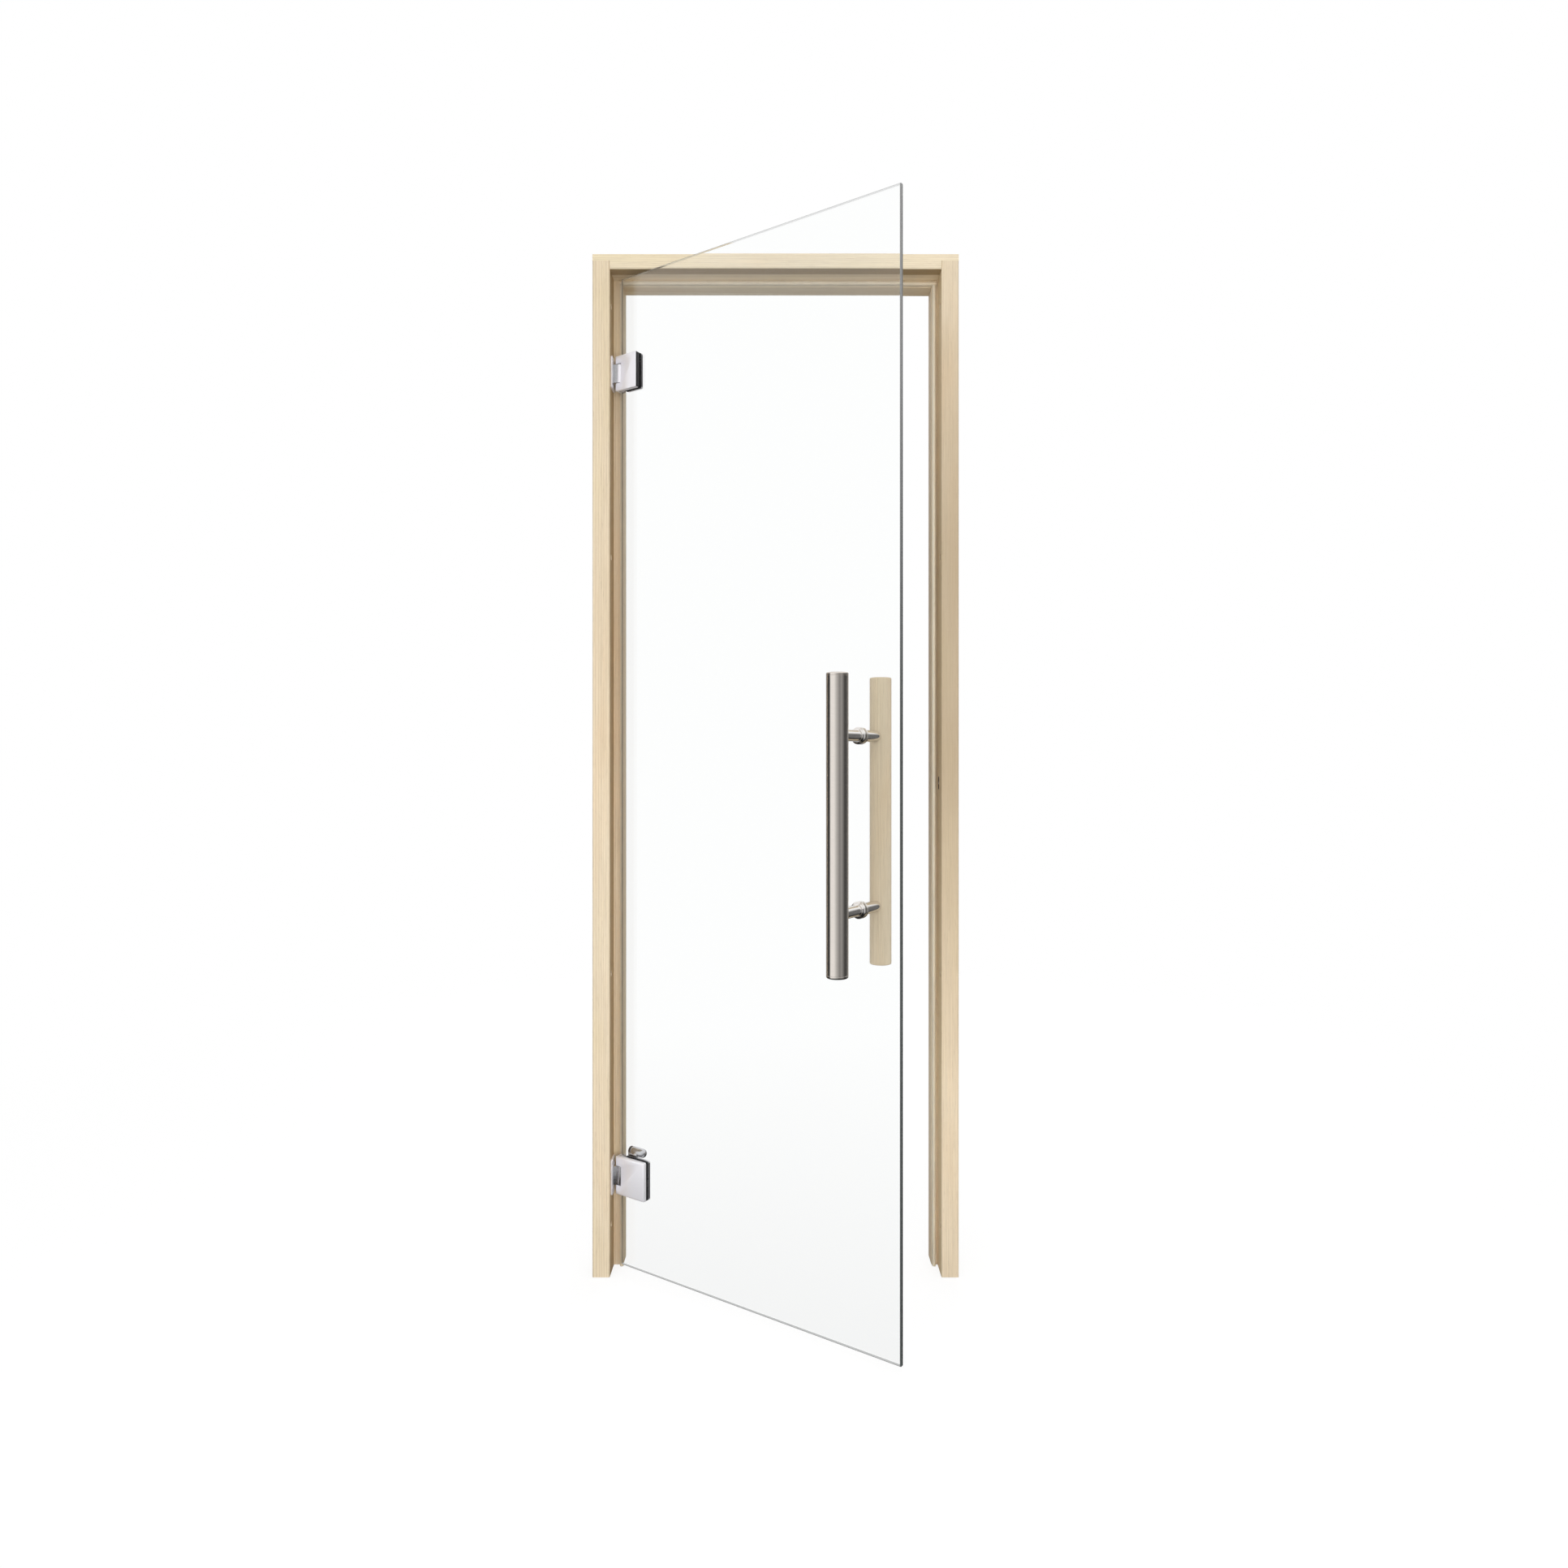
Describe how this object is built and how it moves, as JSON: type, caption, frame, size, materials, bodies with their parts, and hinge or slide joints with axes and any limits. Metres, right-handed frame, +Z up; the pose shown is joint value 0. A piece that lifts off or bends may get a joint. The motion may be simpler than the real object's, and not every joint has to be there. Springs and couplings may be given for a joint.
{
  "type": "sauna door",
  "caption": "Frameless clear glass sauna door ajar in a rebated softwood frame, with clamp hinges, a round steel pull outside and a wooden pull inside.",
  "frame": {"origin": "foot of the hinge jamb's outer side face, halfway through the frame's depth", "axes": "+X along the frame from the hinge side, +Y into the wall away from the side the leaf opens to, +Z up"},
  "size_m": [0.68, 0.4266, 1.9],
  "materials": {
    "frame_timber": "planed pale softwood, unfinished",
    "handle_wood": "turned pale softwood",
    "silicone": "translucent white silicone",
    "nylon": "white nylon",
    "catch_plastic": "black plastic",
    "gasket_rubber": "black rubber",
    "clear_glass": "clear toughened glass",
    "satin_chrome": "satin chrome",
    "brushed_steel": "brushed stainless steel",
    "screw_steel": "plain stainless steel"
  },
  "bodies": {
    "frame": {"hinge_jamb": "frame_timber", "strike_jamb": "frame_timber", "head_rail": "frame_timber", "hinge_corner_screws": "screw_steel", "strike_corner_screws": "screw_steel", "hinge_side_seal": "silicone", "strike_side_seal": "silicone", "head_seal": "silicone", "strike_catch": "catch_plastic", "upper_hinge_bracket": "satin_chrome", "upper_bracket_screws": "screw_steel", "upper_hinge_washers": "nylon", "upper_hinge_pin": "screw_steel", "lower_hinge_bracket": "satin_chrome", "lower_bracket_screws": "screw_steel", "lower_hinge_washers": "nylon", "lower_hinge_pin": "screw_steel"},
    "door": {"glass_leaf": "clear_glass", "upper_outer_plate": "satin_chrome", "upper_outer_gasket": "gasket_rubber", "upper_inner_gasket": "gasket_rubber", "upper_inner_plate": "satin_chrome", "upper_clamp_screws": "screw_steel", "lower_outer_plate": "satin_chrome", "lower_outer_gasket": "gasket_rubber", "lower_inner_gasket": "gasket_rubber", "lower_inner_plate": "satin_chrome", "lower_clamp_screws": "screw_steel", "lower_closer_barrel": "satin_chrome", "outer_pull_bar": "brushed_steel", "outer_bar_top_cap": "brushed_steel", "outer_bar_bottom_cap": "brushed_steel", "inner_pull_bar": "handle_wood", "upper_outer_rosette": "brushed_steel", "upper_outer_standoff": "brushed_steel", "upper_inner_rosette": "brushed_steel", "upper_inner_standoff": "brushed_steel", "lower_outer_rosette": "brushed_steel", "lower_outer_standoff": "brushed_steel", "lower_inner_rosette": "brushed_steel", "lower_inner_standoff": "brushed_steel", "handle_studs": "screw_steel"}
  },
  "joints": [
    {"name": "door_swing", "type": "hinge", "parent": "frame", "child": "door", "pos_m": [0.048, -0.0175, 0], "axis": [0, 0, -1], "range_deg": [-34.5, 60]}
  ]
}
